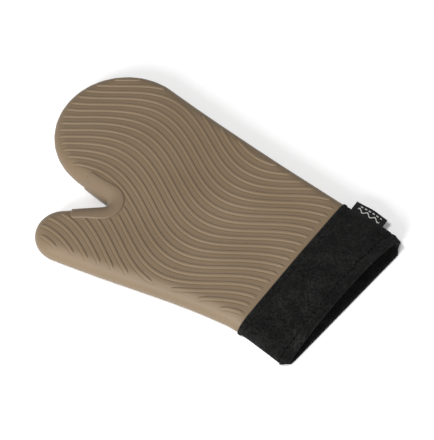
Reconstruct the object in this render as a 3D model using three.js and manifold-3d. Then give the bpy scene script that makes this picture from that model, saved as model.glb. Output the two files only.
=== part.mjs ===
// Silicone oven mitt with a fabric cuff, lying flat with its back up.
// Frame: +Z up, fingertips towards +Y, cuff mouth towards -Y, thumb towards -X.
// Every layer is the same pillow grown from one base outline, so the layers nest.
import * as THREE from "three";
import { mergeVertices } from "three/addons/utils/BufferGeometryUtils.js";
import Module from "manifold-3d";

// Driving dimensions, in millimetres. "Offset" is a distance outwards from the base outline.
const edgeRadius = 12; // rounded edge of the mitt, and the outermost offset
const flatHeight = 1; // straight part between the upper and the lower rounding
const clearance = 0.3; // gap between pieces that touch
const fingerRadius = 64.9; // half the width of the finger pocket
const fingerCentre = new THREE.Vector2(34.1, 105.8);
const thumbRadius = 23.5;
const thumbCentre = new THREE.Vector2(-82.3, 79.3);
const crotchRadius = 4; // the notch between the thumb and the fingers
const crotchCentre = new THREE.Vector2(-36.5, 68.5);
const cuffHalfWidth = 76.5;
const cuffCentreX = 16;
const cuffLength = 56; // along the middle of the cuff
const mouthY = -156;
const mouthSlant = -6; // degrees, the cuff is longer on the little finger's side
const joinSlant = 1.2; // degrees
const waistInset = 1.5; // how far the little finger's side draws in above the cuff
const thumbDip = 0.9; // how far the thumb's side draws in below the thumb
const thumbWaist = 3.6; // and how far it draws in above the cuff
const siliconeWall = 1.8;
const fabricThickness = 0.8;
const paddingThickness = 3;
const liningThickness = 0.6;
const flangeDepth = 8; // how far the silicone reaches in under the cuff
const hemDepth = 12;
const allowanceHeight = 8;
const threadSize = 0.4;
const bandWidth = 13; // reinforcement around the notch
const bandFingerArm = 21;
const bandThumbArm = 33;
const labelWidth = 32;
const labelLength = 11;
const labelPly = 0.4;
const labelToJoin = 7; // from the end of the silicone to the label
const labelRoot = 0.6; // from the side seam to the line the label bends on

// Sizes that follow from the ones above.
const middleZ = edgeRadius + flatHeight / 2;
const joinY = mouthY + cuffLength;
const fabricInner = edgeRadius - fabricThickness;
const flangeOuter = fabricInner - clearance;
const siliconeInner = edgeRadius - siliconeWall;
const paddingOuter = siliconeInner - clearance;
const paddingInner = paddingOuter - paddingThickness;
const liningOuter = paddingInner - clearance;
const liningInner = liningOuter - liningThickness;
const far = 400; // beyond the mitt in every direction

const arcStep = THREE.MathUtils.degToRad(12);
const bevelSteps = 3;

const { Manifold, Mesh: SolidMesh } = await loadManifold();

async function loadManifold() {
  const wasm = await Module();
  wasm.setup();
  return { Manifold: wasm.Manifold, Mesh: wasm.Mesh };
}

function solidFrom(geometry) {
  const bare = geometry.index ? geometry.toNonIndexed() : geometry.clone();
  bare.deleteAttribute("normal");
  bare.deleteAttribute("uv");
  const merged = mergeVertices(bare, 1e-4);
  return new Manifold(new SolidMesh({
    numProp: 3,
    vertProperties: new Float32Array(merged.attributes.position.array),
    triVerts: new Uint32Array(merged.index.array),
  }));
}

function geometryFrom(solid) {
  const mesh = solid.getMesh();
  const geometry = new THREE.BufferGeometry();
  geometry.setAttribute("position", new THREE.BufferAttribute(mesh.vertProperties, 3));
  geometry.setIndex(new THREE.BufferAttribute(mesh.triVerts, 1));
  geometry.computeVertexNormals();
  return geometry;
}

// Points on an arc, with the angles in degrees.
function arcPoints(centre, radius, fromDegrees, toDegrees) {
  const from = THREE.MathUtils.degToRad(fromDegrees);
  const sweep = THREE.MathUtils.degToRad(toDegrees) - from;
  const steps = Math.max(2, Math.round(Math.abs(sweep) / arcStep));
  return Array.from({ length: steps + 1 }, (_, i) => {
    const angle = from + (sweep * i) / steps;
    return new THREE.Vector2(
      centre.x + radius * Math.cos(angle), centre.y + radius * Math.sin(angle));
  });
}

// The base outline: the edge of the mitt moved in by the edge radius, run on past the mouth.
function baseOutline() {
  const sideX = cuffHalfWidth - edgeRadius;
  const tips = arcPoints(fingerCentre, fingerRadius - edgeRadius, 0, 176);
  const notch = arcPoints(crotchCentre, crotchRadius + edgeRadius, -4, -135);
  const thumb = arcPoints(thumbCentre, thumbRadius - edgeRadius, 45, 195);
  const endY = mouthY - 3 * edgeRadius;
  const rightX = cuffCentreX + sideX;
  const leftX = cuffCentreX - sideX;
  const besideFingers = (share, outwards) =>
    new THREE.Vector2(rightX + outwards, joinY + share * (fingerCentre.y - joinY));
  const littleSide = new THREE.SplineCurve([
    new THREE.Vector2(rightX - 0.5, mouthY),
    besideFingers(0, 0),
    besideFingers(0.4, waistInset / 2),
    tips[0].clone().add(new THREE.Vector2(-2 * waistInset, -0.4 * fingerCentre.y)),
    tips[0],
  ]).getPoints(9);
  const thumbEnd = thumb[thumb.length - 1];
  const thumbJoin = new THREE.Vector2(leftX, joinY);
  const besideThumb = (share, inwards) =>
    thumbEnd.clone().lerp(thumbJoin, share).add(new THREE.Vector2(inwards, 0));
  const thumbSide = new THREE.SplineCurve([
    thumbEnd,
    besideThumb(0.27, thumbDip),
    besideThumb(0.62, thumbWaist),
    besideThumb(0.85, 0.85 * thumbWaist),
    thumbJoin,
    new THREE.Vector2(leftX + 0.5, mouthY),
  ]).getPoints(10);
  return new THREE.Shape([
    new THREE.Vector2(rightX - 0.5, endY),
    ...littleSide.slice(0, -1),
    ...tips,
    ...notch,
    ...thumb.slice(0, -1),
    ...thumbSide,
    new THREE.Vector2(leftX + 0.5, endY),
  ]);
}

// The whole mitt as one closed pillow whose edge is rounded to the offset.
function pillow(offset) {
  const geometry = new THREE.ExtrudeGeometry(baseOutline(), {
    depth: flatHeight,
    bevelThickness: offset,
    bevelSize: offset,
    bevelSegments: bevelSteps,
    steps: 1,
  });
  geometry.translate(0, 0, middleZ - flatHeight / 2);
  return solidFrom(geometry);
}

function layer(outer, inner) {
  return pillow(outer).subtract(pillow(inner));
}

function block(minX, maxX, minY, maxY, minZ, maxZ) {
  const geometry = new THREE.BoxGeometry(maxX - minX, maxY - minY, maxZ - minZ);
  geometry.translate((minX + maxX) / 2, (minY + maxY) / 2, (minZ + maxZ) / 2);
  return solidFrom(geometry);
}

// Everything from one distance to another beyond a slanted line across the cuff.
function acrossCuff(lineY, slant, from, to) {
  const geometry = new THREE.BoxGeometry(2 * far, to - from, 2 * far);
  geometry.translate(0, (from + to) / 2, 0);
  geometry.rotateZ(THREE.MathUtils.degToRad(slant));
  geometry.translate(cuffCentreX, lineY, middleZ);
  return solidFrom(geometry);
}

const fromMouth = (from, to) => acrossCuff(mouthY, mouthSlant, from, to);
const fromJoin = (from, to) => acrossCuff(joinY, joinSlant, from, to);
const beyondMouth = () => fromMouth(0, far);
const cuffSpan = () => beyondMouth().intersect(fromJoin(-far, 0));

const upperHalf = () => block(-far, far, -far, far, middleZ + clearance / 2, far);
const lowerHalf = () => block(-far, far, -far, far, -far, middleZ - clearance / 2);

// The plan of the reinforcement band, grown by a margin and closed across the open notch.
function bandRegion(margin) {
  const width = bandWidth + margin;
  const arc = arcPoints(crotchCentre, crotchRadius + width, -135, -4);
  const thumbWay = new THREE.Vector2(-Math.SQRT1_2, Math.SQRT1_2);
  const thumbIn = arc[0].clone().addScaledVector(thumbWay, bandThumbArm + margin);
  const thumbOut = thumbIn.clone().addScaledVector(new THREE.Vector2(1, 1), bandWidth);
  const fingerY = crotchCentre.y + bandFingerArm + margin;
  const fingerIn = new THREE.Vector2(arc[arc.length - 1].x + 1.5, fingerY);
  const fingerOut = new THREE.Vector2(fingerIn.x - 2 * bandWidth, fingerY);
  const geometry = new THREE.ExtrudeGeometry(
    new THREE.Shape([...arc, fingerIn, fingerOut, thumbOut, thumbIn]),
    { depth: far, bevelEnabled: false },
  );
  geometry.translate(0, 0, middleZ - far / 2);
  return solidFrom(geometry);
}

// A moulded glove with a thinner flange under the cuff and a recess under the band.
function siliconeShell() {
  const underCuff = fromJoin(-far, clearance).intersect(layer(edgeRadius + 1, flangeOuter));
  const underBand = bandRegion(clearance).intersect(layer(edgeRadius + 1, flangeOuter));
  return layer(edgeRadius, siliconeInner)
    .intersect(fromJoin(-flangeDepth, far))
    .subtract(underCuff)
    .subtract(underBand);
}

function crotchBand() {
  return bandRegion(0).intersect(layer(edgeRadius, fabricInner));
}

function padding(half) {
  return layer(paddingOuter, paddingInner).intersect(fromJoin(-flangeDepth, far)).intersect(half);
}

function lining(half) {
  return layer(liningOuter, liningInner).intersect(fromMouth(hemDepth / 2, far)).intersect(half);
}

function liningStitch() {
  const outer = liningInner - clearance;
  return layer(outer, outer - threadSize)
    .intersect(fromMouth(hemDepth, far))
    .intersect(block(-far, far, -far, far, middleZ - threadSize / 2, middleZ + threadSize / 2));
}

// A row of stitches sunk into the face of the cuff, and the channel it lies in.
function stitchRow(span) {
  return layer(edgeRadius - 0.05, edgeRadius - 0.05 - threadSize).intersect(span);
}

function stitchChannel(span) {
  return layer(edgeRadius + 1, edgeRadius - 0.1 - threadSize).intersect(span);
}

const hemRow = (margin) => fromMouth(hemDepth - 2 - margin, hemDepth - 2 + threadSize + margin);
const joinRow = (margin) => fromJoin(-3 - threadSize - margin, -3 + margin);
const channelMargin = 0.15;

function cuffPanel(half) {
  return layer(edgeRadius, fabricInner)
    .intersect(cuffSpan())
    .intersect(half)
    .subtract(stitchChannel(hemRow(channelMargin)))
    .subtract(stitchChannel(joinRow(channelMargin)));
}

// The edge of the cuff turned in at the mouth.
function cuffHem() {
  return layer(flangeOuter, flangeOuter - fabricThickness).intersect(fromMouth(0, hemDepth));
}

function besideCuff(side) {
  const nearX = cuffCentreX;
  return side > 0
    ? block(nearX, far, -far, far, -far, far)
    : block(-far, nearX, -far, far, -far, far);
}

// The cloth left beside a side seam, folded flat inside the cuff.
function seamAllowance(side) {
  const high = allowanceHeight / 2;
  return layer(flangeOuter, flangeOuter - fabricThickness)
    .intersect(fromMouth(hemDepth + clearance, far))
    .intersect(fromJoin(-far, -flangeDepth - clearance))
    .intersect(block(-far, far, -far, far, middleZ - high, middleZ + high))
    .intersect(besideCuff(side));
}

function sideStitch(side) {
  const outer = flangeOuter - fabricThickness - clearance;
  return layer(outer, outer - threadSize)
    .intersect(fromMouth(hemDepth + 1, far))
    .intersect(fromJoin(-far, -flangeDepth - 0.5))
    .intersect(block(-far, far, -far, far, middleZ - threadSize / 2, middleZ + threadSize / 2))
    .intersect(besideCuff(side));
}

// A woven tape folded double: two plies with a round fold at the free end.
function labelGeometry() {
  const outerR = 1.25 * labelPly;
  const innerR = outerR - labelPly;
  const foldX = labelLength - outerR;
  const profile = new THREE.Shape();
  profile.moveTo(0, -outerR);
  profile.lineTo(foldX, -outerR);
  profile.absarc(foldX, 0, outerR, -Math.PI / 2, Math.PI / 2, false);
  profile.lineTo(0, outerR);
  profile.lineTo(0, innerR);
  profile.lineTo(foldX, innerR);
  profile.absarc(foldX, 0, innerR, Math.PI / 2, -Math.PI / 2, true);
  profile.lineTo(0, -innerR);
  profile.closePath();
  const geometry = new THREE.ExtrudeGeometry(profile, {
    depth: labelWidth, bevelEnabled: false, curveSegments: 6,
  });
  geometry.rotateX(Math.PI / 2);
  return geometryFrom(solidFrom(geometry));
}

function finish(color, roughness) {
  return new THREE.MeshStandardMaterial({ color, roughness, metalness: 0 });
}

const silicone = () => finish(0x857259, 0.55);
const smoothSilicone = () => finish(0x85735f, 0.5);
const blackCotton = () => finish(0x1f1f1e, 0.9);
const blackThread = () => finish(0x262625, 0.75);
const blackTape = () => finish(0x1b1b1b, 0.7);
const batting = () => finish(0xe6e2d8, 0.95);

function piece(name, solid, material) {
  const mesh = new THREE.Mesh(geometryFrom(solid), material);
  mesh.name = name;
  return mesh;
}

const mitt = new THREE.Group();
mitt.add(
  piece("silicone_shell", siliconeShell(), silicone()),
  piece("crotch_band", crotchBand(), smoothSilicone()),
  piece("padding_front", padding(upperHalf()), batting()),
  piece("padding_back", padding(lowerHalf()), batting()),
  piece("lining_front", lining(upperHalf()), blackCotton()),
  piece("lining_back", lining(lowerHalf()), blackCotton()),
  piece("lining_seam_stitch", liningStitch(), blackThread()),
  piece("cuff_front", cuffPanel(upperHalf()), blackCotton()),
  piece("cuff_back", cuffPanel(lowerHalf()), blackCotton()),
  piece("cuff_hem", cuffHem(), blackCotton()),
  piece("hem_stitch", stitchRow(hemRow(0)), blackThread()),
  piece("cuff_join_stitch", stitchRow(joinRow(0)), blackThread()),
);
for (const [end, side] of [["right", 1], ["left", -1]]) {
  mitt.add(
    piece(`seam_allowance_${end}`, seamAllowance(side), blackCotton()),
    piece(`side_stitch_${end}`, sideStitch(side), blackThread()),
  );
}

const label = new THREE.Mesh(labelGeometry(), blackTape());
label.name = "label";
label.position.set(cuffCentreX + cuffHalfWidth + labelRoot, joinY - labelToJoin, middleZ);
mitt.add(label);

// The origin is under the middle of the mitt, on the surface it lies on.
const box = new THREE.Box3().setFromObject(mitt);
mitt.position.set(-(box.min.x + box.max.x) / 2, -(box.min.y + box.max.y) / 2, 0);

export default mitt;
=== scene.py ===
"""A silicone oven mitt with a black cotton cuff, lying on a pale floor.

Lengths are in millimetres in the CAD frame, and make_mesh turns them into metres.
Every layer of the mitt is found from one base surface, the smooth outside of the hand:
"depth" is the distance in from the outline in plan, "side" is 1 on the upper face and -1
on the lower one, and "inset" is how far a layer lies inside the base surface.
"""
import math

import bpy
import numpy as np
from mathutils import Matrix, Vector, kdtree
from mathutils.geometry import delaunay_2d_cdt


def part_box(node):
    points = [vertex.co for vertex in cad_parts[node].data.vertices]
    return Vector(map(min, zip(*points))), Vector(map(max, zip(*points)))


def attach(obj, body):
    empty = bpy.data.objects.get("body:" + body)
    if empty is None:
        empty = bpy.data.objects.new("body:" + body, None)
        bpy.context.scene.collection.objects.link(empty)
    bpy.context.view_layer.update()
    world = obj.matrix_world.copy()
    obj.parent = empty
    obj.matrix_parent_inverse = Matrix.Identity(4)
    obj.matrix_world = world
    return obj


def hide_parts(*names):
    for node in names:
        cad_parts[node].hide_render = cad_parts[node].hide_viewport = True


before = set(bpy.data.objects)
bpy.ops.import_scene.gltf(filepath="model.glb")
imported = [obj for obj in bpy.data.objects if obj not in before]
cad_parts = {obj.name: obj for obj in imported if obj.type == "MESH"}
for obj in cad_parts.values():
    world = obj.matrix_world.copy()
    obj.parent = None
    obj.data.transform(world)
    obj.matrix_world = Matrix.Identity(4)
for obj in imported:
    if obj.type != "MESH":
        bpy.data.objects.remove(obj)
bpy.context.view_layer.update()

MM = 0.001

# Camera
CAMERA_AZIMUTH = -52.54
CAMERA_ELEVATION = 59.76
CAMERA_LENS = 85.0
CAMERA_DISTANCE = 918.8
CAMERA_TARGET = (14.2, -22.2, 12.5)

# The hand of the mitt
EDGE_RADIUS = 12.0
EDGE_POWER = 2.2  # 2 is a round edge, and more is squarer
HAND_BOTTOM = 0.95  # without the ribs
HAND_TOP = 24.0
TIP_DROP = 3.0  # the fingertips are this much thinner
TIP_FROM, TIP_TO = 60.0, 170.0  # along Y
UNEVEN_HEIGHT = 0.5  # of the upper face's slow bumps
UNEVEN_LENGTH = 70.0
LINING_TO_OUTLINE = 5.4  # from the CAD lining's edge out to the mitt's outline
SILICONE_WALL = 1.8
PADDING_INSETS = (2.1, 5.1)
LINING_INSETS = (5.4, 6.0)
LAYERS_ROOM = 7.0  # all the layers of a face fit in this, and are pressed thinner in less

# Ribs: each is the same wave along Y, moved sideways by the pitch
RIB_PITCH = 9.1
RIB_HALF_WIDTH = 1.6
RIB_HEIGHT = 0.9
RIB_SQUARENESS = 5  # 2 is round, and more is flatter on top
RIB_SHOULDER = 0.6  # the power that rounds a rib's edges
RIB_GROOVE = 0.4  # the silicone dips this much along each side of a rib
GROOVE_PLACE = 1.15  # in rib half widths from the ridge
GROOVE_WIDTH = 0.13
RIB_WAVE = 18.9
RIB_OVERTONE = 1.0  # a second wave, half as long
RIB_OVERTONE_START = -0.75  # radians
RIB_WAVELENGTH = 194.0
RIB_WAVE_START = -63.3
RIB_LEAN = 0.064
RIB_OFFSET = 19.2
RIB_MARGIN = 6.5  # smooth edge of the mitt
RIB_TO_BAND = 0.4
RIB_TO_CUFF = 5.0
RIB_COLUMNS = (0.45, 0.78, 0.93, 0.995, 1.15, 1.35, 1.8)  # grid lines, in rib half widths

# Reinforcement band around the notch
BAND_WIDTH = 11.0
BAND_EXTRA = 3.0  # wider at the bend
BAND_ON_THUMB = 2.0  # and along the thumb
BAND_RISE = 1.3
BAND_EDGE = 0.9  # radius of its rounded edge
BAND_SUNK = 0.25  # its underside lies this deep in the silicone
BAND_THUMB_ARM = 32.0  # from the notch
BAND_FINGER_ARM = 35.0
BAND_CORNER = 2.5

# Cuff
CUFF_LENGTH = 56.0
MOUTH_SLANT = 0.105  # slopes in plan
JOIN_SLANT = 0.021
MOUTH_TOP = 31.0
MOUTH_SKEW = (0.72, 0.33)  # the arch's powers, from the thumb's side and from the other
CORNER_HEIGHTS = (4.0, 10.0)  # of the mouth, on the thumb's side and on the other
CORNER_RISE = 16.0  # the lower rim falls to its full depth over this distance
CORNER_FALL = 7.0  # the other side's corner hangs this much lower at the very rim
MOUTH_CORNERS = (7.0, 4.0)  # their radii in plan
LOWER_CORNER_REACH = 6.5  # in from the seam, where the lower panel reaches the full length
MOUTH_DRAW = 4.5  # the open upper panel is drawn back this far at the mouth
MOUTH_DRAW_REACH = 45.0  # and less and less this far from it
FLANGE = 8.0  # the silicone runs this far under the cuff
CLOTH = 0.8
HEM = 9.5  # from the rim to the hem's stitches
HEM_RISE = 0.75  # the hem is this much thicker
JOIN_STITCHES = 5.2  # from the cuff's fold
SEAM_X = 75.0  # a side seam's lengths start at the mouth's line at this distance from the middle
CUFF_BOTTOM = 2.4  # the lower panel lies this high, inside its fold and its hem
STITCH_PITCH = 4.6
ALLOWANCE_INSETS = (1.9, 2.5)
ALLOWANCE_DEPTHS = (0.0, 0.6, 1.6, 3.0, 4.5)
THREAD_SECTIONS, THREAD_SIDES = 7, 8

# Label
LABEL_PLY = 0.38
LABEL_GAP = 0.10  # half the space between its plies
LABEL_ROOT = 1.3  # its ends reach this far into the seam
LABEL_CURL = 1.8  # its free edge stands this much higher

PIECE_GAP = 0.15
FLOOR_COLOUR = (0.96, 0.96, 0.96, 1)


# ---------------------------------------------------------------- small helpers

def smoothstep(low, high, value):
    t = np.clip((value - low) / (high - low), 0, 1)
    return t * t * (3 - 2 * t)


def mix(a, b, t):
    return a + (b - a) * t


def bumps(x, y, length):
    """Soft uneven bumps between about -1 and 1: six waves, each with its own way and length."""
    total = 0.0
    for k in range(6):
        angle, size = 2.4 * k + 0.5, length * (0.75 + 0.13 * k)
        along = x * math.cos(angle) + y * math.sin(angle)
        total = total + np.sin(2 * math.pi * along / size + k * k)
    return total / 3


def make_mesh(name, vertices, faces):
    """A smooth-shaded object from points in millimetres, without the unused ones."""
    used, numbers = np.unique(np.concatenate(faces), return_inverse=True)
    ends = np.cumsum([len(face) for face in faces])
    faces = [part.tolist() for part in np.split(numbers.ravel(), ends[:-1])]
    mesh = bpy.data.meshes.new(name)
    mesh.from_pydata((np.asarray(vertices, float)[used] * MM).tolist(), [], faces)
    mesh.validate()
    mesh.update()
    mesh.polygons.foreach_set("use_smooth", [True] * len(mesh.polygons))
    obj = bpy.data.objects.new(name, mesh)
    bpy.context.scene.collection.objects.link(obj)
    return obj


def finish_piece(obj, material, slot, *nodes, body="mitt"):
    """Gives a piece its material, the body it rides on and the CAD nodes it replaces. Its finish
    slot is not used.
    """
    obj.data.materials.append(material)
    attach(obj, body)
    if nodes:
        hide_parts(*nodes)
    return obj


def grid_faces(rows, columns, close_rows=False, close_columns=False):
    """Quads of a grid of points stored row by row."""
    faces = []
    for i in range(rows if close_rows else rows - 1):
        for j in range(columns if close_columns else columns - 1):
            a, b, k = i * columns, (i + 1) % rows * columns, (j + 1) % columns
            faces.append((a + j, a + k, b + k, b + j))
    return faces


def thickened(outer, inner, faces):
    """A closed solid between two sets of points that share their faces."""
    count = len(outer)
    edges = {(a, b) for face in faces for a, b in zip(face, face[1:] + face[:1])}
    solid = list(faces) + [tuple(count + i for i in reversed(face)) for face in faces]
    solid += [(b, a, count + a, count + b) for a, b in edges if (b, a) not in edges]
    return np.vstack([outer, inner]), solid


# ---------------------------------------------------------------- the outline

def smoothed(line, step, sigma):
    """The line resampled, with its corners rounded off."""
    along = np.r_[0, np.cumsum(np.linalg.norm(np.diff(line, axis=0), axis=1))]
    at = np.linspace(0, along[-1], round(along[-1] / step) + 1)
    fine = np.stack([np.interp(at, along, line[:, k]) for k in (0, 1)], 1)
    reach = int(4 * sigma / step)
    kernel = np.exp(-0.5 * (np.arange(-reach, reach + 1) * step / sigma) ** 2)
    ends = 2 * fine[0] - fine[reach:0:-1], 2 * fine[-1] - fine[-2:-reach - 2:-1]
    padded = np.vstack([ends[0], fine, ends[1]])
    kernel /= kernel.sum()
    return np.stack([np.convolve(padded[:, k], kernel, "valid") for k in (0, 1)], 1)


def inward_normals(line):
    """Unit directions square to the line, towards the inside of the outline."""
    tangent = np.gradient(line, axis=0)
    tangent /= np.linalg.norm(tangent, axis=1)[:, None]
    return np.stack([tangent[:, 1], -tangent[:, 0]], 1)


def cad_lining_edge(lean=0.2):
    """The outer edge of the CAD lining, from the cuff up the thumb's side and round.

    The mouth's two corners are the lowest points when the plan leans one way and the other.
    """
    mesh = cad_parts["lining_front"].data
    points = np.array([v.co[:] for v in mesh.vertices]) / MM
    low = points[:, 2].min() + 0.01
    keys = [tuple(np.round(p, 3)) for p in points]
    edges = set()
    for face in mesh.polygons:
        ring = [keys[i] for i in face.vertices]
        if face.normal.z < -0.9 and max(p[2] for p in ring) < low:
            edges.update(zip(ring, ring[1:] + ring[:1]))
    after = {a: b for a, b in edges if (b, a) not in edges}
    loop = [min(after, key=lambda p: lean * p[0] + p[1])]
    while after[loop[-1]] != loop[0]:
        loop.append(after[loop[-1]])
    loop = np.array(loop)[:, :2]
    last = np.argmin(loop[:, 1] - lean * loop[:, 0])
    paths = loop[:last + 1], np.vstack([loop[:1], loop[:last - 1:-1]])
    return max(paths, key=lambda path: np.linalg.norm(np.diff(path, axis=0), axis=1).sum())


def mitt_outline(step=0.5, beyond=20.0):
    """The plan outline, run straight on past the mouth at both ends."""
    edge = smoothed(cad_lining_edge(), step, 2.0)
    edge -= LINING_TO_OUTLINE * inward_normals(edge)
    start, end = edge[0] + [0, -beyond], edge[-1] + [0, -beyond]
    return smoothed(np.vstack([start, edge, end]), step, 0.7)


OUTLINE = mitt_outline()
NORMALS = inward_normals(OUTLINE)
TREE = kdtree.KDTree(len(OUTLINE))
for number, point in enumerate(OUTLINE):
    TREE.insert((*point, 0), number)
TREE.balance()

CUFF_LOW, CUFF_HIGH = (np.array(corner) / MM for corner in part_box("cuff_front"))
CUFF_X = (CUFF_LOW[0] + CUFF_HIGH[0]) / 2
MOUTH_Y = CUFF_LOW[1] + MOUTH_SLANT * (CUFF_HIGH[0] - CUFF_X)


def mouth_y(x):
    """The rim of the cuff's mouth, in plan."""
    return MOUTH_Y - MOUTH_SLANT * (x - CUFF_X)


def join_y(x):
    """The cuff's fold, where the silicone comes out of it, in plan."""
    return MOUTH_Y + CUFF_LENGTH - JOIN_SLANT * (x - CUFF_X)


def side_x(y, side):
    """The outline's X beside the cuff, on the thumb's side (-1) or the other (1)."""
    near = (OUTLINE[:, 1] < -40) & (OUTLINE[:, 0] * side > 0)
    order = np.argsort(OUTLINE[near, 1])
    return np.interp(y, OUTLINE[near, 1][order], OUTLINE[near, 0][order])


def depth_and_inward(x, y):
    """How deep plan points lie inside the outline, and the inward direction there.

    The third result is the number of the nearest outline point.
    """
    found = [TREE.find((a, b, 0))[1] for a, b in zip(x, y)]
    offset = np.stack([x, y], 1) - OUTLINE[found]
    inward = NORMALS[found]
    distance = np.linalg.norm(offset, axis=1)
    return distance * np.sign((offset * inward).sum(1)), inward, np.array(found)


# ---------------------------------------------------------------- the base surface

def mouth_arch(u):
    """The open mouth's arch, from 0 at both corners to 1 at its peak."""
    a, b = MOUTH_SKEW
    peak = a / (a + b)
    return u ** a * (1 - u) ** b / (peak ** a * (1 - peak) ** b)


def base_heights(x, y, depth):
    """The base surface's height on the upper and on the lower face."""
    d = np.clip(depth, 0, EDGE_RADIUS)
    edge = (1 - ((EDGE_RADIUS - d) / EDGE_RADIUS) ** EDGE_POWER) ** (1 / EDGE_POWER)
    to_mouth = (join_y(x) - y) / (join_y(x) - mouth_y(x))
    cuff = smoothstep(-0.1, 0.1, to_mouth)
    bottom = mix(HAND_BOTTOM, CUFF_BOTTOM, cuff)
    top = HAND_TOP - TIP_DROP * smoothstep(TIP_FROM, TIP_TO, y)
    uneven = UNEVEN_HEIGHT * (bumps(x, y, UNEVEN_LENGTH) * smoothstep(0, 40, depth))
    middle = (top + bottom) / 2
    top = middle + (top - middle) * edge + uneven
    bottom = middle + (bottom - middle) * edge

    left, right = side_x(y, -1), side_x(y, 1)
    u = np.clip((x - left) / (right - left), 0, 1)
    corner = mix(*CORNER_HEIGHTS, u) - CORNER_FALL * u * smoothstep(0.7, 1.0, to_mouth)
    from_side = np.minimum(u, 1 - u) * (right - left)
    arch_top = mix(corner, MOUTH_TOP, mouth_arch(u))
    arch_bottom = mix(corner, CUFF_BOTTOM, smoothstep(0, 1, from_side / CORNER_RISE) ** 0.5)
    opening = smoothstep(-0.35, 1.0, to_mouth)
    return mix(top, arch_top, opening), mix(bottom, arch_bottom, opening)


def base_normal(depth):
    """The base surface's outward normal: how far it points out of the outline, and up."""
    d = np.clip(depth, 0, EDGE_RADIUS)
    out = ((EDGE_RADIUS - d) / EDGE_RADIUS) ** (EDGE_POWER - 1)
    up = (1 - ((EDGE_RADIUS - d) / EDGE_RADIUS) ** EDGE_POWER) ** (1 - 1 / EDGE_POWER)
    length = np.hypot(out, up)
    return out / length, up / length


def layer_points(x, y, depth, inward, side, inset, gap=0.0):
    """Points of a layer: the base surface's, moved in by the inset.

    The two faces' layers stay the gap apart from the middle, and nothing goes below the floor.
    """
    top, bottom = base_heights(x, y, depth)
    half, middle = (top - bottom) / 2, (top + bottom) / 2
    out, up = base_normal(depth)
    fall = inset * np.where(np.asarray(inset) > 0, np.minimum(up, half / LAYERS_ROOM), up)
    z = np.maximum(middle + side * np.maximum(half - fall, gap), 0)
    return np.stack([x + inset * out * inward[:, 0], y + inset * out * inward[:, 1], z], 1)


# ---------------------------------------------------------------- meshes of the hand

def rib_wave(y):
    """Where the middle rib's ridge is, in X."""
    phase = 2 * math.pi * (y - RIB_WAVE_START) / RIB_WAVELENGTH
    overtone = RIB_OVERTONE * np.sin(2 * phase + RIB_OVERTONE_START)
    return RIB_OFFSET - RIB_LEAN * y - RIB_WAVE * np.sin(phase) - overtone


def rib_slope(y, step=0.5):
    """How far the wave runs sideways for each millimetre along Y."""
    return (rib_wave(y + step) - rib_wave(y - step)) / (2 * step)


PITCHES = int(130 / RIB_PITCH) + 3  # ribs on each side of the middle one, and a few to spare


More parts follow.
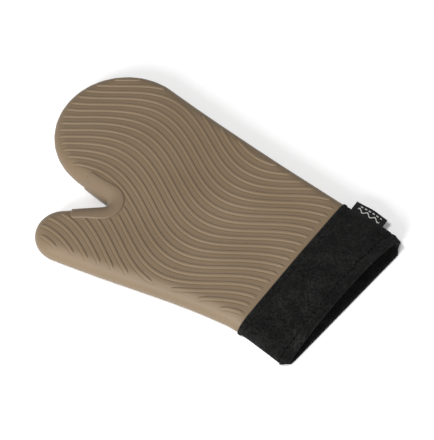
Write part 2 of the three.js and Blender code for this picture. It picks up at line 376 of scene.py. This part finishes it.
class HandPlan:
    """The hand's plan as points and faces: rings along the outline, then a grid.

    end gives the line where the hand's layer stops towards the mouth, and rings the depths
    of the rings. offsets are the grid's columns within one rib pitch, which follow the ribs'
    wave and are stretched with its slope.
    """

    def __init__(self, end, step, rings, offsets, row_step):
        self.end, self.row_step = end, row_step
        kept = np.flatnonzero(OUTLINE[:, 1] > end(OUTLINE[:, 0]))
        picked = np.arange(kept[0], kept[-1] + 1, step)
        line, normals = OUTLINE[picked], NORMALS[picked]
        self.count = len(picked)
        ring_total = len(rings) * self.count
        ring_points = [line + normals * ring for ring in rings]
        grid, cells = self.grid(offsets, rings[-1] + 1.0, ring_total)
        self.points = np.vstack([*ring_points, grid, self.closing_line(ring_points[-1])])
        loop = [*range(ring_total - self.count, ring_total),
                *range(ring_total + len(grid), len(self.points))]
        self.faces = [face[::-1] for face in grid_faces(len(rings), self.count)]
        self.faces += cells + self.filling(loop, cells)
        self.depth, self.inward, _ = depth_and_inward(*self.points.T)
        self.depth[:ring_total] = np.repeat(rings, self.count)
        self.inward[:ring_total] = np.tile(normals, (len(rings), 1))

    def closing_line(self, ring):
        """Points straight across the open end, from the ring's last point to its first."""
        last, first = ring[-1], ring[0]
        steps = max(2, round(np.linalg.norm(first - last) / (2 * self.row_step)))
        closing = last + (first - last) * (np.arange(1, steps) / steps)[:, None]
        closing[:, 1] = np.maximum(closing[:, 1], self.end(closing[:, 0]))
        return closing

    def grid(self, offsets, margin, first_number):
        """The grid's points that lie deeper than the margin, and the faces between them."""
        x, y, shape = self.wave_columns(offsets)
        depth = depth_and_inward(x, y)[0]
        inside = ((depth > margin) & (y > self.end(x) + 1.0)).reshape(shape)
        quads = inside[:-1, :-1] & inside[1:, :-1] & inside[:-1, 1:] & inside[1:, 1:]
        used = np.zeros(shape, bool)
        for di, dj in ((0, 0), (0, 1), (1, 0), (1, 1)):
            used[di:di + quads.shape[0], dj:dj + quads.shape[1]] |= quads
        numbers = np.full(shape, -1)
        numbers[used] = first_number + np.arange(used.sum())
        i, j = np.nonzero(quads)
        corners = numbers[i, j], numbers[i, j + 1], numbers[i + 1, j + 1], numbers[i + 1, j]
        cells = [tuple(cell) for cell in np.stack(corners, 1).tolist()]
        return np.stack([x, y], 1)[used.ravel()], cells

    def wave_columns(self, offsets):
        """Plan points of the whole grid, row by row, and how many rows and columns it has."""
        y = np.arange(OUTLINE[:, 1].min(), OUTLINE[:, 1].max() + self.row_step, self.row_step)
        columns = [(k, offset) for k in range(-PITCHES, PITCHES + 1) for offset in offsets]
        pitch = np.array([k * RIB_PITCH for k, _ in columns])
        offset = np.array([offset for _, offset in columns])
        half_way = np.abs(np.abs(offset) - RIB_PITCH / 2) < 0.01
        slope = rib_slope(y)[:, None]
        stretch = np.where(half_way[None, :], 1.0, np.sqrt(1 + slope ** 2))
        x = rib_wave(y)[:, None] + pitch[None, :] + offset[None, :] * stretch
        return x.ravel(), np.repeat(y, len(columns)), x.shape

    def filling(self, loop, cells):
        """Triangles between the last ring and the stepped edge of the grid."""
        edges = {(a, b) for cell in cells for a, b in zip(cell, cell[1:] + cell[:1])}
        steps = [(a, b) for a, b in edges if (b, a) not in edges]
        steps += list(zip(loop, loop[1:] + loop[:1]))
        used = sorted({n for edge in steps for n in edge})
        local = {n: i for i, n in enumerate(used)}
        points = [Vector(self.points[n]) for n in used]
        edges = [(local[a], local[b]) for a, b in steps]
        result = delaunay_2d_cdt(points, edges, [[local[n] for n in loop[::-1]]], 2, 1e-6)
        back = [used[origin[0]] for origin in result[3]]
        triangles = [tuple(back[i] for i in face) for face in result[2]]
        return [self.facing_up(*triangle) for triangle in triangles]

    def facing_up(self, a, b, c):
        (ax, ay), (bx, by), (cx, cy) = self.points[[a, b, c]]
        area = (bx - ax) * (cy - ay) - (by - ay) * (cx - ax)
        return (a, b, c) if area > 0 else (a, c, b)

    def layer(self, side, inset, gap=0.0):
        """The plan's points on one face's layer, at this inset."""
        return layer_points(*self.points.T, self.depth, self.inward, side, inset, gap)

    def both_faces(self):
        """The mesh faces of both sides together, joined along the outline."""
        total, ring = len(self.points), self.count
        lower = [tuple(i if i < ring else i + total for i in face[::-1]) for face in self.faces]
        return self.faces + lower


# ---------------------------------------------------------------- the silicone

def notch_number():
    """The outline point at the bottom of the notch between the thumb and the fingers."""
    x, y = OUTLINE.T
    near = np.flatnonzero((x > -60) & (x < -10) & (y > 40))
    return int(near[np.argmin(y[near])])


NOTCH = notch_number()
OUTLINE_STEP = float(np.linalg.norm(np.diff(OUTLINE, axis=0), axis=1).mean())


def band_width(along):
    """The band's width on each face, at a distance along the outline from the notch."""
    on_thumb = BAND_ON_THUMB * smoothstep(8, -8, along)
    return BAND_WIDTH + on_thumb + BAND_EXTRA * np.exp(-(along / 16) ** 2)


def band_distance(depth, nearest):
    """How far plan points lie from the band, and below 0 inside it."""
    along = (nearest - NOTCH) * OUTLINE_STEP
    past_end = np.maximum(along - BAND_FINGER_ARM, -BAND_THUMB_ARM - along)
    past_side = depth - band_width(along)
    outside = np.hypot(np.maximum(past_end, 0), np.maximum(past_side, 0))
    return outside + np.minimum(np.maximum(past_end, past_side), 0)


def rib_rise(x, y):
    """How far the ribs stand out of the silicone at plan points."""
    pitch = np.round((x - rib_wave(y)) / RIB_PITCH)
    centre = rib_wave(y) + pitch * RIB_PITCH
    across = (x - centre) / np.sqrt(1 + rib_slope(y) ** 2)
    depth, _, nearest = depth_and_inward(centre, y)
    room = np.minimum(depth - RIB_MARGIN, band_distance(depth, nearest) - RIB_TO_BAND)
    room = np.minimum(room, y - join_y(centre) - RIB_TO_CUFF) - RIB_HALF_WIDTH
    from_core = np.hypot(across, np.minimum(room, 0)) / RIB_HALF_WIDTH
    groove = RIB_GROOVE * np.exp(-((from_core - GROOVE_PLACE) / GROOVE_WIDTH) ** 2)
    ridge = (1 - np.minimum(from_core, 1) ** RIB_SQUARENESS) ** RIB_SHOULDER
    return RIB_HEIGHT * ridge - groove


def flange_end(x):
    """Where the silicone ends, under the cuff."""
    return join_y(x) - FLANGE


def silicone_shell(material):
    columns = RIB_HALF_WIDTH * np.array(RIB_COLUMNS)
    plan = HandPlan(
        flange_end, step=2, rings=(0, 0.12, 0.5, 1.1, 1.9, 2.9, 4.0),
        offsets=(-0.5 * RIB_PITCH, *(-columns[::-1]), 0, *columns), row_step=1.6)
    rise = rib_rise(*plan.points.T)
    outer = np.vstack([plan.layer(side, -rise) for side in (1, -1)])
    inner = np.vstack([plan.layer(side, SILICONE_WALL) for side in (1, -1)])
    shell = make_mesh("ribbed_silicone_shell", *thickened(outer, inner, plan.both_faces()))
    finish_piece(shell, material, "silicone", "silicone_shell")


def crotch_band(material):
    """A smooth raised strip around the notch, over the edge from one face to the other."""
    along = np.arange(-BAND_THUMB_ARM, BAND_FINGER_ARM + 0.01, 0.5)
    to_end = np.minimum(along + BAND_THUMB_ARM, BAND_FINGER_ARM - along)
    cut = BAND_CORNER - np.sqrt(BAND_CORNER ** 2 - np.maximum(BAND_CORNER - to_end, 0) ** 2)
    width = band_width(along) - np.minimum(cut, BAND_CORNER)
    shares = [0, 0.01, 0.04, 0.09, 0.16, 0.25, 0.36, 0.5, 0.65, 0.78, 0.88, 0.93, 0.97, 1]
    numbers = NOTCH + np.round(along / OUTLINE_STEP).astype(int)
    line, inward = OUTLINE[numbers], NORMALS[numbers]
    outer, inner = [], []
    for side, share in [(1, n) for n in shares[::-1]] + [(-1, n) for n in shares[1:]]:
        depth = width * share
        x, y = (line + inward * depth[:, None]).T
        to_edge = np.minimum(width - depth, to_end)
        rise = BAND_RISE * np.sqrt(1 - (1 - np.minimum(to_edge / BAND_EDGE, 1)) ** 2)
        outer.append(layer_points(x, y, depth, inward, side, -rise - 0.02))
        inner.append(layer_points(x, y, depth, inward, side, np.full(len(x), BAND_SUNK)))
    faces = grid_faces(len(outer), len(along))
    solid = thickened(np.vstack(outer), np.vstack(inner), faces)
    finish_piece(make_mesh("smooth_notch_band", *solid), material, "smooth_silicone", "crotch_band")


# ---------------------------------------------------------------- padding and lining

def padding_end(x):
    """Just short of the silicone's end."""
    return join_y(x) - FLANGE + 0.5


def lining_end(x):
    """Just past the hem's stitches, over the end of the turned edge."""
    return mouth_y(x) + HEM + 1


def inner_layers(padding_material, lining_material):
    coarse = dict(step=5, rings=(0, 0.4, 1.4, 3.0, 5.0, 8.0),
                  offsets=(-0.5 * RIB_PITCH, 0), row_step=5.0)
    kinds = (
        ("padding", padding_end, PADDING_INSETS, padding_material, "batting"),
        ("lining", lining_end, LINING_INSETS, lining_material, "cotton_lining"),
    )
    for kind, end, insets, material, slot in kinds:
        plan = HandPlan(end, **coarse)
        for face, side in (("front", 1), ("back", -1)):
            outer, inner = (plan.layer(side, inset, PIECE_GAP) for inset in insets)
            faces = plan.faces if side > 0 else [f[::-1] for f in plan.faces]
            obj = make_mesh(f"{kind}_{face}_layer", *thickened(outer, inner, faces))
            finish_piece(obj, material, slot, f"{kind}_{face}")


# ---------------------------------------------------------------- the cuff

CUFF_MARGINS = np.array([0, 0.15, 0.5, 1.0, 1.7, 2.6, 4.0, 6.0, 8.5, 11.5])
CUFF_EVEN = 15.0  # the evenly spaced columns start this far in from the seams
CUFF_SIDES = (-59.0, 92.0)  # about where its side seams lie, in X


def rounded_corner(x, depth, side):
    """How far the mouth's rim draws back towards the hand beside the side seams.

    The lower panel's corners are wider, so the upper panel's cover them.
    """
    radius = np.where(x < CUFF_X, *MOUTH_CORNERS)
    if side < 0:
        return radius * (1 - smoothstep(0, LOWER_CORNER_REACH, depth))
    return radius - np.sqrt(radius ** 2 - np.maximum(radius - depth, 0) ** 2)


def cuff_rows(profile, side, middle_columns=70, gap=PIECE_GAP):
    """Rows of points across the cuff, for (distance from the mouth, lift) profile points.

    The lift is how far the cloth stands out of the base surface. It is a number, or a
    function of X and of the depth in from the side seam.
    """
    rows = []
    for along, lift in profile:
        left = np.array([side_x(mouth_y(CUFF_SIDES[0]) + along, -1)])
        right = np.array([side_x(mouth_y(CUFF_SIDES[1]) + along, 1)])
        middle = np.linspace(left[0] + CUFF_EVEN, right[0] - CUFF_EVEN, middle_columns)
        x = np.concatenate([left + CUFF_MARGINS, middle, (right - CUFF_MARGINS)[::-1]])
        depth = np.minimum(x - left, right - x)
        y = mouth_y(x) + along * (join_y(x) - mouth_y(x)) / CUFF_LENGTH
        y += rounded_corner(x, depth, side) * (1 - smoothstep(0, HEM, along))
        if side > 0:
            open_part = mouth_arch(np.clip((x - left) / (right - left), 0, 1))
            y += MOUTH_DRAW * open_part * (1 - smoothstep(0, MOUTH_DRAW_REACH, along))
        inward = np.stack([np.where(x < (left + right) / 2, 1.0, -1.0), np.zeros(len(x))], 1)
        height = lift(x, depth) if callable(lift) else np.full(len(x), lift)
        rows.append(layer_points(x, y, depth, inward, side, -height, gap))
    return rows


def seam_dip(depth, size):
    """The cloth falls into the side seam."""
    return size * np.exp(-(depth / 1.6) ** 2)


def creases(x, along):
    """Soft wrinkles of the cuff's cloth, mostly running from the mouth to the hand."""
    calm = smoothstep(0, 8, along) * (1 - 0.6 * smoothstep(46, 56, along))
    fold = bumps(x + 0.12 * along, along * 0.45, 27)
    small = bumps(x * 1.1, along * 0.8 + 40, 9)
    return calm * (1.2 * fold + 0.35 * small)


def pucker(x, along):
    """The hem's stitches pull the cloth in, with a small pillow between each two."""
    near = np.exp(-((along - HEM) / 1.5) ** 2)
    return near * (-0.85 + 0.25 * np.cos(2 * math.pi * x / STITCH_PITCH))


def outside_lift(along):
    """The cuff's outer surface, from the rolled fold at the hand to the mouth's rim."""
    fold = 1.1 * np.exp(-((along - (CUFF_LENGTH - 1.2)) / 1.5) ** 2)
    groove = -0.35 * np.exp(-((along - (CUFF_LENGTH - JOIN_STITCHES)) / 1.1) ** 2)
    hem = HEM_RISE * (1 - smoothstep(HEM - 1, HEM + 1, along))
    dip = 0.9 * smoothstep(0, HEM + 2, along)

    def lift(x, depth):
        flat = CLOTH + fold + groove + hem + creases(x, along) + pucker(x, along)
        return np.maximum(flat - seam_dip(depth, dip), 0.3)
    return lift


def cuff_profile():
    """Once round the cuff's cut, from under its fold to the mouth and back inside."""
    length = CUFF_LENGTH
    outer = [*np.linspace(length - 0.9, length - 7, 12), *np.linspace(length - 8.5, HEM + 4, 22),
             *np.linspace(HEM + 2.8, HEM - 2.8, 11), *np.linspace(HEM - 4, 1.6, 6)]
    profile = [(length - 0.6, 0.1), (length + 0.1, 0.45), (length + 0.35, 1.0)]
    profile += [(a, outside_lift(a)) for a in outer]
    profile += [(0.8, 1.25), (0.25, 0.8), (0.0, 0.1), (0.3, -0.5), (1.2, -0.75)]
    profile += [(a, -0.6) for a in np.linspace(2.5, HEM + 2, 5)]
    profile += [(HEM + 3.5, -0.1)]
    profile += [(a, 0.05) for a in np.linspace(HEM + 6, length - 8, 10)]
    return profile


def cuff(material):
    """The two outer panels, each a closed sheet folded in at the mouth and at the hand."""
    pieces = []
    for face, side in (("front", 1), ("back", -1)):
        rows = cuff_rows(cuff_profile(), side)
        columns = len(rows[0])
        first, last = ([i * columns + j for i in range(len(rows))] for j in (0, columns - 1))
        faces = grid_faces(len(rows), columns, close_rows=True)
        faces += [tuple(first[::-1]), tuple(last)]
        faces = [f[::-1] for f in faces] if side > 0 else faces
        obj = make_mesh(f"cuff_{face}_panel", np.vstack(rows), faces)
        pieces.append(finish_piece(obj, material, "black_cotton", f"cuff_{face}"))
    return pieces


def round_section(profile):
    """Points right round the cuff, upper then lower, for each profile point."""
    upper = cuff_rows(profile, 1, gap=0.0)
    lower = cuff_rows(profile, -1, gap=0.0)
    return [np.vstack([a, b[-2:0:-1]]) for a, b in zip(upper, lower)]


def cuff_hem(material):
    """The cuff's edge turned inside, seen through the mouth."""
    profile = [(along, -0.85) for along in (1.0, 2.5, 5.0, 8.0, 11.0, 12.5)] + [(13.2, -1.2)]
    profile += [(along, -1.75) for along in (12.6, 11.0, 8.0, 5.0, 2.5, 1.2)] + [(0.6, -1.3)]
    rows = round_section(profile)
    faces = grid_faces(len(rows), len(rows[0]), close_rows=True, close_columns=True)
    hem = make_mesh("cuff_turned_hem", np.vstack(rows), faces)
    return finish_piece(hem, material, "black_cotton", "cuff_hem")


def allowance_point(side, along, face, depth, inset):
    """One point beside a side seam, on the upper (1) or the lower (-1) face."""
    y = np.array([mouth_y(side * SEAM_X) + along])
    x = side_x(y, side) - side * depth
    inward = np.array([[-side, 0.0]])
    return layer_points(x, y, np.array([depth]), inward, face, inset)[0]


def allowance(name, side, start, end, material, node):
    """The cuff's side seam allowance, which lies flat against the inside of the seam."""
    across = [(1, depth) for depth in ALLOWANCE_DEPTHS[:0:-1]]
    across += [(-1, depth) for depth in ALLOWANCE_DEPTHS]
    steps = np.linspace(start, end, 12)
    outer, inner = (
        [allowance_point(side, along, face, depth, inset)
         for along in steps for face, depth in across]
        for inset in ALLOWANCE_INSETS)
    faces = [f if side > 0 else f[::-1] for f in grid_faces(len(steps), len(across))]
    piece = make_mesh(name, *thickened(outer, inner, faces))
    return finish_piece(piece, material, "black_cotton", node)


# ---------------------------------------------------------------- thread

def thread_faces():
    """Faces of one stitch: a tube of rings with closed ends."""
    end = (THREAD_SECTIONS - 1) * THREAD_SIDES
    faces = [f[::-1] for f in grid_faces(THREAD_SECTIONS, THREAD_SIDES, close_columns=True)]
    return faces + [tuple(range(THREAD_SIDES)), tuple(range(end, end + THREAD_SIDES))[::-1]]


def thread_points(line, radius):
    """Rings of points around one stitch, which narrows at both ends."""
    tangent = (line[-1] - line[0]) / np.linalg.norm(line[-1] - line[0])
    first = np.cross(tangent, (0.0, 0.0, 1.0))
    first /= np.linalg.norm(first)
    second = np.cross(first, tangent)
    points = []
    for number, centre in enumerate(line):
        t = number / (THREAD_SECTIONS - 1) * 2 - 1
        size = radius * max(0.15, math.sqrt(1 - abs(t) ** 6))
        for turn in np.arange(THREAD_SIDES) * 2 * math.pi / THREAD_SIDES:
            points.append(centre + size * (math.cos(turn) * first + math.sin(turn) * second))
    return points


def stitches(name, path, material, node, pitch, length, radius):
    """A row of short threads along a path of points, as one mesh."""
    path = np.asarray(path)
    along = np.r_[0, np.cumsum(np.linalg.norm(np.diff(path, axis=0), axis=1))]
    vertices, faces = [], []
    for start in np.arange(0, along[-1] - length, pitch):
        at = start + length * np.linspace(0, 1, THREAD_SECTIONS)
        line = np.stack([np.interp(at, along, path[:, k]) for k in range(3)], 1)
        faces += [tuple(len(vertices) + i for i in face) for face in thread_faces()]
        vertices += thread_points(line, radius)
    return finish_piece(make_mesh(name, vertices, faces), material, "black_thread", node)


def ring_path(along, lift):
    """A closed path round the cuff, at this distance from the mouth."""
    ring = round_section([(along, lift)])[0]
    return np.vstack([ring, ring[:1]])


def seam_path(side, start, end, inset, count=30):
    """A path along the cuff's side seam, from one distance from the mouth to another."""
    y = np.linspace(mouth_y(side * SEAM_X) + start, mouth_y(side * SEAM_X) + end, count)
    x, depth = side_x(y, side), np.zeros(count)
    inward = np.tile([-side, 0.0], (count, 1))
    return layer_points(x, y, depth, inward, 1, inset)


def lining_seam_path():
    """Along the lining's joined edge, from the cuff round the hand and back."""
    kept = OUTLINE[:, 1] > mouth_y(OUTLINE[:, 0]) + 10
    x, y = OUTLINE[kept].T
    return layer_points(x, y, np.zeros(len(x)), NORMALS[kept], 1, 5.75)[::4]


def threads(material):
    hem_lift, join_line = outside_lift(HEM), CUFF_LENGTH - JOIN_STITCHES
    hem_path = ring_path(HEM, lambda x, depth: hem_lift(x, depth) + 0.12)
    stitches("hem_stitches", hem_path, material, "hem_stitch",
             pitch=STITCH_PITCH, length=3.1, radius=0.45)
    join_path = ring_path(join_line, outside_lift(join_line))
    stitches("join_stitches", join_path, material, "cuff_join_stitch",
             pitch=3.2, length=2.4, radius=0.24)
    fine = dict(pitch=3.0, length=2.3, radius=0.2)
    stitches("lining_seam_stitches", lining_seam_path(), material, "lining_seam_stitch", **fine)
    for side, name in ((-1, "left"), (1, "right")):
        stitches(f"side_stitches_{name}", seam_path(side, 22, 44, 1.3), material,
                 f"side_stitch_{name}", **fine)


# ---------------------------------------------------------------- the label

def tape_fold(reach, ply):
    """The folded tape's cut: out along the upper ply, round the fold and back.

    ply is how far the line lies out from the tape's inner face.
    """
    upper = [(mix(-LABEL_ROOT, reach, a), LABEL_GAP + 0.05 * math.sin(math.pi * a) + ply)
             for a in np.linspace(0, 1, 12)[:-1]]
    turn = [(reach + (0.08 + ply) * math.cos(t), -(LABEL_GAP + ply) * math.sin(t))
            for t in np.linspace(-math.pi / 2, math.pi / 2, 9)]
    return upper + turn + [(a, -b) for a, b in upper[::-1]]


def label_curl(along):
    """How much higher the free edge stands, from one end of the label (0) to the other (1)."""
    wave = 0.5 * math.sin(math.pi * along) - 0.35 * math.cos(2.2 * math.pi * along)
    return LABEL_CURL * (1 + wave)


def label(material):
    """A tape folded double, with its ends in the side seam, that parts a little at its fold."""
    low, high = (np.array(corner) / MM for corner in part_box("label"))
    width, length = high[0] - low[0], high[1] - low[1]
    middle = (low[2] + high[2]) / 2
    section = tape_fold(width - 0.5, LABEL_PLY) + tape_fold(width - 0.5, 0)[::-1]
    rows = [[(low[0] + a, low[1] + along * length,
              middle + b + label_curl(along) * (a / width) ** 2) for a, b in section]
            for along in np.linspace(0, 1, 33)]
    faces = grid_faces(len(rows), len(section), close_columns=True)
    last = (len(rows) - 1) * len(section)
    faces += [tuple(range(len(section)))[::-1], tuple(range(last, last + len(section)))]
    tape = make_mesh("side_label_tape", np.vstack(rows), faces)
    finish_piece(tape, material, "woven_tape", "label", body="label")


# ---------------------------------------------------------------- materials

class Material:
    """A Principled material with a few node helpers."""

    def __init__(self, name, roughness, specular=0.5, sheen=0.0, sheen_roughness=0.5):
        self.made = bpy.data.materials.new(name)
        self.made.use_nodes = True
        self.nodes, self.links = self.made.node_tree.nodes, self.made.node_tree.links
        self.shader = self.nodes["Principled BSDF"]
        self.shader.inputs["Roughness"].default_value = roughness
        self.shader.inputs["Specular IOR Level"].default_value = specular
        self.shader.inputs["Sheen Weight"].default_value = sheen
        self.shader.inputs["Sheen Roughness"].default_value = sheen_roughness
        self.place = self.nodes.new("ShaderNodeTexCoord").outputs["Object"]

    def node(self, kind, values=(), **settings):
        """A new node, with each input linked to a socket or set to a value."""
        made = self.nodes.new(kind)
        for key, value in settings.items():
            setattr(made, key, value)
        for key, value in dict(values).items():
            if isinstance(value, bpy.types.NodeSocket):
                self.links.new(value, made.inputs[key])
            else:
                made.inputs[key].default_value = value
        return made

    def noise(self, size, detail=3.0, roughness=0.5, place=None):
        """Noise from 0 to 1 whose bumps are about this many millimetres across."""
        return self.node("ShaderNodeTexNoise", {
            "Vector": place or self.place, "Scale": 1 / (size * MM), "Detail": detail,
            "Roughness": roughness}).outputs["Fac"]

    def math(self, operation, a, b=0.0):
        return self.node("ShaderNodeMath", {0: a, 1: b}, operation=operation).outputs[0]

    def stretched(self, value, low, high, to_low=0.0, to_high=1.0):
        """The value from low to high spread over another range, and held inside it."""
        values = {"Value": value, "From Min": low, "From Max": high,
                  "To Min": to_low, "To Max": to_high}
        return self.node("ShaderNodeMapRange", values).outputs["Result"]

    def colours(self, factor, dark, light):
        """A colour between two screen colours."""
        mixed = self.node("ShaderNodeMix", {"Factor": factor}, data_type="RGBA")
        mixed.inputs["A"].default_value = linear(dark)
        mixed.inputs["B"].default_value = linear(light)
        return mixed.outputs["Result"]

    def colour(self, value):
        self.links.new(value, self.shader.inputs["Base Color"])

    def bump(self, height, depth, strength=1.0, over=None):
        """A bump of this depth in millimetres, laid over another bump if one is given."""
        values = {"Height": height, "Distance": depth * MM, "Strength": strength}
        if over:
            values["Normal"] = over
        made = self.node("ShaderNodeBump", values).outputs["Normal"]
        self.links.new(made, self.shader.inputs["Normal"])
        return made


def linear(srgb):
    """A 0 to 255 screen colour as Blender's linear colour."""
    values = [c / 255 for c in srgb]
    return [v / 12.92 if v <= 0.04045 else ((v + 0.055) / 1.055) ** 2.4 for v in values] + [1.0]


def silicone_material(name, dark, light, roughness):
    """Matt rubber, very slightly uneven."""
    m = Material(name, roughness, specular=0.35, sheen=0.05)
    m.colour(m.colours(m.noise(60, 2), dark, light))
    fine = m.bump(m.noise(0.5, 2), 0.02, 0.5)
    m.bump(m.noise(9, 2), 0.12, 0.4, over=fine)
    return m.made


def cotton_material(name, dark, light, yarn=0.75):
    """A plain weave with a soft, uneven nap."""
    m = Material(name, 0.95, specular=0.05, sheen=0.03, sheen_roughness=0.6)
    axes = m.node("ShaderNodeSeparateXYZ", {"Vector": m.place})
    step = 2 * math.pi / (yarn * MM)
    uneven = m.math("MULTIPLY", m.noise(3.0, 2), 2.5)
    x = m.math("ADD", m.math("MULTIPLY", axes.outputs["X"], step), uneven)
    y = m.math("ADD", m.math("MULTIPLY", axes.outputs["Y"], step), uneven)
    weave = m.math("MULTIPLY", m.math("SINE", x), m.math("SINE", y))
    patches = m.stretched(m.noise(14, 3, 0.6), 0.3, 0.7, 0.3, 1.0)
    nap = m.math("MULTIPLY", m.stretched(m.noise(2.0, 6, 0.85), 0.4, 0.6), patches)
    m.colour(m.colours(nap, dark, light))
    woven = m.bump(weave, 0.15, 0.6)
    m.bump(m.noise(1.4, 6, 0.8), 1.1, 0.7, over=woven)
    return m.made


def thread_material():
    m = Material("black_thread", 0.9, specular=0.04)
    m.colour(m.colours(m.noise(1.0, 2), (2, 2, 2), (9, 9, 9)))
    m.bump(m.noise(0.3, 2), 0.05, 0.6)
    return m.made


def batting_material():
    m = Material("white_batting", 1.0, specular=0.1, sheen=0.2)
    m.colour(m.colours(m.noise(4, 4), (205, 203, 196), (228, 226, 220)))
    m.bump(m.noise(1.5, 5, 0.7), 0.6, 0.6)
    return m.made


def tape_motif(m, axes):
    """1 on a zigzag line and on a row of dashes beside it, and 0 elsewhere on the tape."""
    low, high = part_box("label")
    across = m.math("DIVIDE", m.math("SUBTRACT", axes.outputs["X"], low[0]), high[0] - low[0])
    along = m.math("DIVIDE", m.math("SUBTRACT", axes.outputs["Y"], low[1]), high[1] - low[1])
    inside = m.math("LESS_THAN", m.math("ABSOLUTE", m.math("SUBTRACT", along, 0.5)), 0.36)
    crest = m.math("MULTIPLY", m.math("SINE", m.math("MULTIPLY", along, 2 * math.pi * 4)), 0.11)
    from_wave = m.math("ABSOLUTE", m.math("SUBTRACT", m.math("SUBTRACT", across, 0.46), crest))
    wave = m.math("LESS_THAN", from_wave, 0.05)
    dash = m.math("GREATER_THAN", m.math("SINE", m.math("MULTIPLY", along, 2 * math.pi * 8)), -0.2)
    row = m.math("LESS_THAN", m.math("ABSOLUTE", m.math("SUBTRACT", across, 0.76)), 0.04)
    drawn = m.math("MAXIMUM", wave, m.math("MULTIPLY", dash, row))
    return m.math("MULTIPLY", drawn, inside)


def tape_material():
    """Black woven tape with a pale line of waves and a row of dashes."""
    m = Material("woven_label_tape", 0.85, specular=0.2, sheen=0.08)
    axes = m.node("ShaderNodeSeparateXYZ", {"Vector": m.place})
    m.colour(m.colours(tape_motif(m, axes), (27, 27, 28), (190, 190, 186)))
    rows = m.math("SINE", m.math("MULTIPLY", axes.outputs["Y"], 2 * math.pi / (0.45 * MM)))
    m.bump(rows, 0.06, 0.6)
    return m.made


# ---------------------------------------------------------------- the studio

def floor(size=1000, plain=450):
    """A pale floor just under the mitt, which fades into the white backdrop further away."""
    corners = [(a * size, b * size, -0.05) for a, b in ((-1, -1), (1, -1), (1, 1), (-1, 1))]
    ground = make_mesh("floor", corners, [(0, 1, 2, 3)])
    m = Material("pale_floor", 0.9, specular=0.0)
    m.shader.inputs["Base Color"].default_value = FLOOR_COLOUR
    away = m.node("ShaderNodeVectorMath", {0: m.place}, operation="LENGTH").outputs["Value"]
    fade = m.stretched(away, plain * MM, 0.95 * size * MM)
    mixed = m.node("ShaderNodeMixShader", {
        0: fade, 1: m.shader.outputs[0], 2: m.node("ShaderNodeBsdfTransparent").outputs[0]})
    m.links.new(mixed.outputs[0], m.nodes["Material Output"].inputs["Surface"])
    ground.data.materials.append(m.made)


def white_backdrop(ambient):
    """The camera sees white behind the floor, and the room's light is softer than that."""
    world = bpy.data.worlds.new("studio")
    bpy.context.scene.world = world
    world.use_nodes = True
    nodes, links = world.node_tree.nodes, world.node_tree.links
    nodes.clear()
    seen = nodes.new("ShaderNodeLightPath").outputs["Is Camera Ray"]
    room, white = nodes.new("ShaderNodeBackground"), nodes.new("ShaderNodeBackground")
    room.inputs["Color"].default_value = (1, 1, 1, 1)
    room.inputs["Strength"].default_value = ambient
    white.inputs["Color"].default_value = (1, 1, 1, 1)
    both, output = nodes.new("ShaderNodeMixShader"), nodes.new("ShaderNodeOutputWorld")
    links.new(seen, both.inputs[0])
    links.new(room.outputs[0], both.inputs[1])
    links.new(white.outputs[0], both.inputs[2])
    links.new(both.outputs[0], output.inputs[0])


def direction(azimuth, elevation):
    """The way from the mitt to a viewer: azimuth 0 looks from -Y, and 90 from +X."""
    a, e = math.radians(azimuth), math.radians(elevation)
    return Vector((math.sin(a) * math.cos(e), -math.cos(a) * math.cos(e), math.sin(e)))


def soft_light(name, azimuth, elevation, distance, size, power):
    """A round lamp this wide and this far off, turned to the mitt."""
    data = bpy.data.lights.new(name, "AREA")
    data.shape, data.size, data.energy = "DISK", size * MM, power
    light = bpy.data.objects.new(name, data)
    away = direction(azimuth, elevation)
    light.location = (Vector(CAMERA_TARGET) + away * distance) * MM
    light.rotation_euler = away.to_track_quat("Z", "Y").to_euler()
    bpy.context.scene.collection.objects.link(light)


def camera():
    data = bpy.data.cameras.new("camera")
    data.lens = CAMERA_LENS
    made = bpy.data.objects.new("camera", data)
    away = direction(CAMERA_AZIMUTH, CAMERA_ELEVATION)
    made.location = (Vector(CAMERA_TARGET) + away * CAMERA_DISTANCE) * MM
    made.rotation_euler = away.to_track_quat("Z", "Y").to_euler()
    bpy.context.scene.collection.objects.link(made)
    bpy.context.scene.camera = made
    bpy.context.scene.view_settings.view_transform = "Standard"


camera()
floor()
white_backdrop(ambient=0.37)
soft_light("key", azimuth=-100, elevation=68, distance=1500, size=260, power=14)
soft_light("side", azimuth=-80, elevation=27, distance=1500, size=800, power=23.5)

silicone = silicone_material("taupe_silicone", (105, 89, 69), (115, 97, 75), roughness=0.55)
smooth = silicone_material("smooth_taupe_silicone", (105, 89, 70), (114, 97, 77), roughness=0.5)
black = cotton_material("black_cotton", (0, 0, 0), (38, 38, 37))
lining_cloth = cotton_material("dark_lining_cotton", (9, 9, 9), (20, 20, 20), yarn=0.6)
thread = thread_material()

silicone_shell(silicone)
crotch_band(smooth)
inner_layers(batting_material(), lining_cloth)
panels = cuff(black)
hem = cuff_hem(black)
for sign, name in ((-1, "left"), (1, "right")):
    allowance(f"{name}_seam_allowance", sign, 20, 46, black, f"seam_allowance_{name}")
threads(thread)
label(tape_material())
